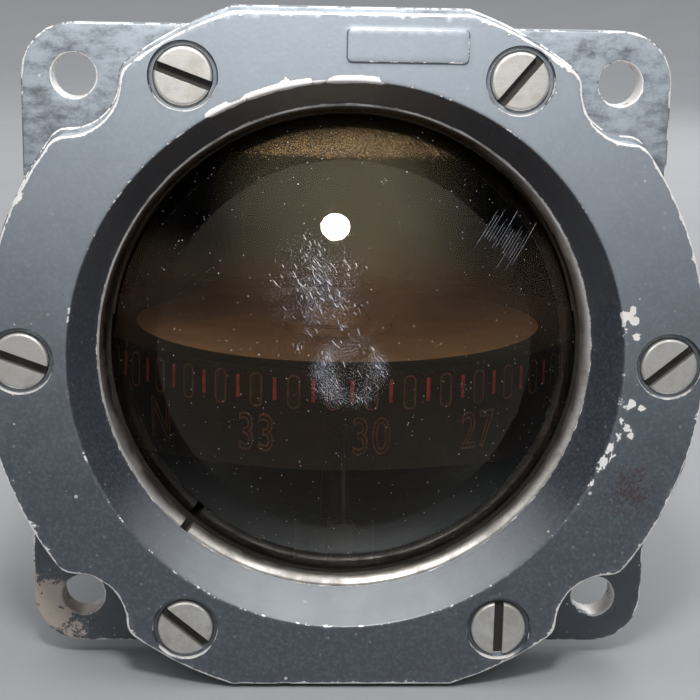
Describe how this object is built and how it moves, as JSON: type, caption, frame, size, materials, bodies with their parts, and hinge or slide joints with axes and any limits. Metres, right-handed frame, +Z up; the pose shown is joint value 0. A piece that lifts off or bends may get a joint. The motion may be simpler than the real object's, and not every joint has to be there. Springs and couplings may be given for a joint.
{
  "type": "aircraft compass",
  "caption": "Panel-mounted aircraft compass: domed window in a funnel bezel, fluid bowl with a floating numbered card, square bolt-on flange and a rear compensator.",
  "frame": {"origin": "centre of the mounting flange's rear face, on the window's axis and amid the four panel bolts", "axes": "+Z up as mounted, +Y from the flange back through the panel, so the window faces -Y; +X to the pilot's right"},
  "size_m": [0.0904, 0.1003, 0.0858],
  "materials": {
    "black_paint": "satin",
    "nickel_brass": "satin",
    "bare_alloy": "satin",
    "window_glass": "polished",
    "seal_rubber": "matte",
    "seal_fibre": "matte",
    "aged_brass": "satin",
    "pivot_steel": "polished",
    "jewel": "polished",
    "card_lacquer": "satin",
    "magnet_steel": "matte"
  },
  "bodies": {
    "casing": {"bezel_ring": "black_paint", "bezel_screws": "nickel_brass", "glass_clamp_ring": "bare_alloy", "glass_dome": "window_glass", "glass_gasket": "seal_rubber", "bowl_casing": "black_paint", "lubber_bracket": "aged_brass", "lubber_pointer": "aged_brass", "lubber_screws": "aged_brass", "pivot_post": "aged_brass", "pivot_pin": "pivot_steel", "post_screw": "nickel_brass", "post_screw_washer": "seal_fibre", "filler_plug": "nickel_brass", "filler_washer": "seal_fibre", "rear_gasket": "seal_rubber", "expansion_diaphragm": "aged_brass", "rear_cover": "black_paint", "rear_cover_screws": "nickel_brass", "compensator_housing": "black_paint", "compensator_lid": "black_paint", "compensator_lid_screws": "nickel_brass", "compensator_foot_screws": "nickel_brass"},
    "jewel": {"jewel_cup": "jewel"},
    "setting": {"jewel_setting": "aged_brass"},
    "card": {"card_dial": "card_lacquer", "card_float": "aged_brass", "float_base": "aged_brass", "magnet_carrier": "aged_brass", "card_magnets": "magnet_steel"},
    "b_adjuster": {"b_adjuster_spindle": "aged_brass", "b_adjuster_gear": "aged_brass", "b_adjuster_magnet": "magnet_steel"},
    "b_follower": {"b_follower_shaft": "aged_brass", "b_follower_gear": "aged_brass", "b_follower_magnet": "magnet_steel"},
    "c_adjuster": {"c_adjuster_spindle": "aged_brass", "c_adjuster_gear": "aged_brass", "c_adjuster_magnet": "magnet_steel"},
    "c_follower": {"c_follower_shaft": "aged_brass", "c_follower_gear": "aged_brass", "c_follower_magnet": "magnet_steel"}
  },
  "joints": [
    {"name": "card_pitch", "type": "hinge", "parent": "casing", "child": "jewel", "pos_m": [0, 0.02111, -0.003], "axis": [1, 0, 0], "range_deg": [-12, 12]},
    {"name": "card_roll", "type": "hinge", "parent": "jewel", "child": "setting", "pos_m": [0, 0.02111, -0.003], "axis": [0, 1, 0], "range_deg": [-12, 12]},
    {"name": "card_turn", "type": "hinge", "parent": "setting", "child": "card", "pos_m": [0, 0.02111, -0.003], "axis": [0, 0, 1], "continuous": true},
    {"name": "b_adjust", "type": "hinge", "parent": "casing", "child": "b_adjuster", "pos_m": [-0.01458, 0.07409, 0], "axis": [0, 0, 1], "range_deg": [-90, 90]},
    {"name": "b_follow", "type": "hinge", "parent": "casing", "child": "b_follower", "pos_m": [-0.00558, 0.07409, 0], "axis": [0, 0, 1], "range_deg": [-95, 95]},
    {"name": "c_adjust", "type": "hinge", "parent": "casing", "child": "c_adjuster", "pos_m": [0.01458, 0.07409, 0], "axis": [0, 0, 1], "range_deg": [-90, 90]},
    {"name": "c_follow", "type": "hinge", "parent": "casing", "child": "c_follower", "pos_m": [0.00558, 0.07409, 0], "axis": [0, 0, 1], "range_deg": [-95, 95]}
  ],
  "couplings": [
    {"joint": "b_follow", "follows": "b_adjust", "ratio": -1},
    {"joint": "c_follow", "follows": "c_adjust", "ratio": -1}
  ]
}
